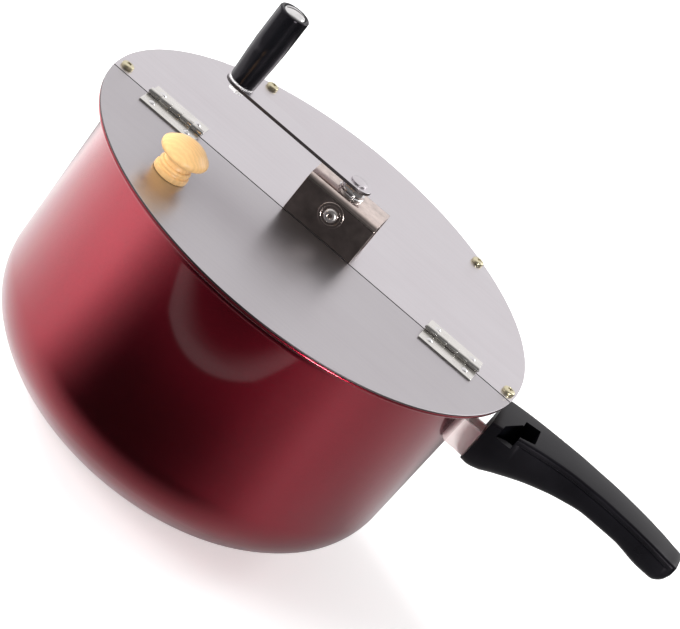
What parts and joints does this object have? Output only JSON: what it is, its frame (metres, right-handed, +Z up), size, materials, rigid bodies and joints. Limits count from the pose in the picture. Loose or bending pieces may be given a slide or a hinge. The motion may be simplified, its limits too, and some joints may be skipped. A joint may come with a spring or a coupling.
{
  "type": "stovetop popcorn popper",
  "caption": "Lidded stovetop pot with a hinged half lid, a wooden knob, a top hand crank geared to a wire stirrer, and a long side handle.",
  "frame": {"origin": "centre of the pot's flat bottom", "axes": "+Z up along the pot's axis, +X towards the end of the long handle, -Y towards the lid's hinged door"},
  "size_m": [0.3674, 0.254, 0.2251],
  "materials": {
    "pot_paint": "glossy metallic burgundy enamel",
    "lid_sheet": "fine brushed",
    "screw_brass": "plated",
    "hinge_steel": "nickel plated",
    "rivet_steel": "bright",
    "housing_steel": "polished",
    "axle_steel": "bright",
    "bush_steel": "bright",
    "gear_steel": "machined",
    "arm_steel": "fine brushed",
    "bolt_chrome": "bright",
    "grip_plastic": "gloss black",
    "knob_wood": "clear varnish",
    "screw_steel": "plain",
    "stirrer_steel": "plain",
    "bracket_steel": "satin",
    "handle_bakelite": "satin black phenolic"
  },
  "bodies": {
    "pot": {"pot_body": "pot_paint", "lid_fixed_half": "lid_sheet", "rim_screws": "screw_brass", "rim_nuts": "screw_brass", "left_hinge_fixed_leaf": "hinge_steel", "right_hinge_fixed_leaf": "hinge_steel", "left_hinge_pin": "hinge_steel", "right_hinge_pin": "hinge_steel", "fixed_leaf_rivets": "rivet_steel", "gear_housing": "housing_steel", "housing_rivets": "rivet_steel", "idler_axle": "axle_steel", "idler_axle_collar": "axle_steel", "housing_bush": "bush_steel", "lid_bush": "bush_steel", "handle_bracket": "bracket_steel", "main_handle": "handle_bakelite", "handle_bolt": "screw_steel", "handle_bolt_nut": "screw_steel"},
    "door": {"lid_door": "lid_sheet", "left_hinge_door_leaf": "hinge_steel", "right_hinge_door_leaf": "hinge_steel", "door_leaf_rivets": "rivet_steel", "door_knob": "knob_wood", "knob_screw": "screw_steel"},
    "crank": {"crank_gear": "gear_steel", "crank_shaft": "arm_steel", "crank_hub_washer": "arm_steel", "crank_hub_nut": "arm_steel", "crank_arm": "arm_steel", "crank_dome_nut": "arm_steel", "grip_bolt_slotted": "bolt_chrome", "grip_washer": "bolt_chrome", "grip_nut": "bolt_chrome"},
    "grip": {"crank_grip": "grip_plastic"},
    "idler": {"idler_gear": "gear_steel"},
    "stirrer": {"stirrer_gear": "gear_steel", "stirrer_shaft": "stirrer_steel", "stirrer_collar": "stirrer_steel", "stirrer_floor_wire": "stirrer_steel", "stirrer_upper_wire": "stirrer_steel"}
  },
  "joints": [
    {"name": "door_hinge", "type": "hinge", "parent": "pot", "child": "door", "pos_m": [0, -0.0128, 0.1499], "axis": [-1, 0, 0], "range_deg": [0, 20]},
    {"name": "crank_turn", "type": "hinge", "parent": "pot", "child": "crank", "pos_m": [0.0018, 0, 0.171], "axis": [0, 0, 1], "continuous": true},
    {"name": "grip_spin", "type": "hinge", "parent": "crank", "child": "grip", "pos_m": [-0.073, 0, 0.2], "axis": [0, 0, 1], "continuous": true},
    {"name": "idler_turn", "type": "hinge", "parent": "pot", "child": "idler", "pos_m": [0.0018, -0.009, 0.161], "axis": [0, 1, 0], "continuous": true},
    {"name": "stirrer_turn", "type": "hinge", "parent": "pot", "child": "stirrer", "pos_m": [0.0018, 0, 0.1], "axis": [0, 0, 1], "continuous": true}
  ],
  "couplings": [
    {"joint": "idler_turn", "follows": "crank_turn", "ratio": 1.5},
    {"joint": "stirrer_turn", "follows": "crank_turn", "ratio": -1}
  ]
}
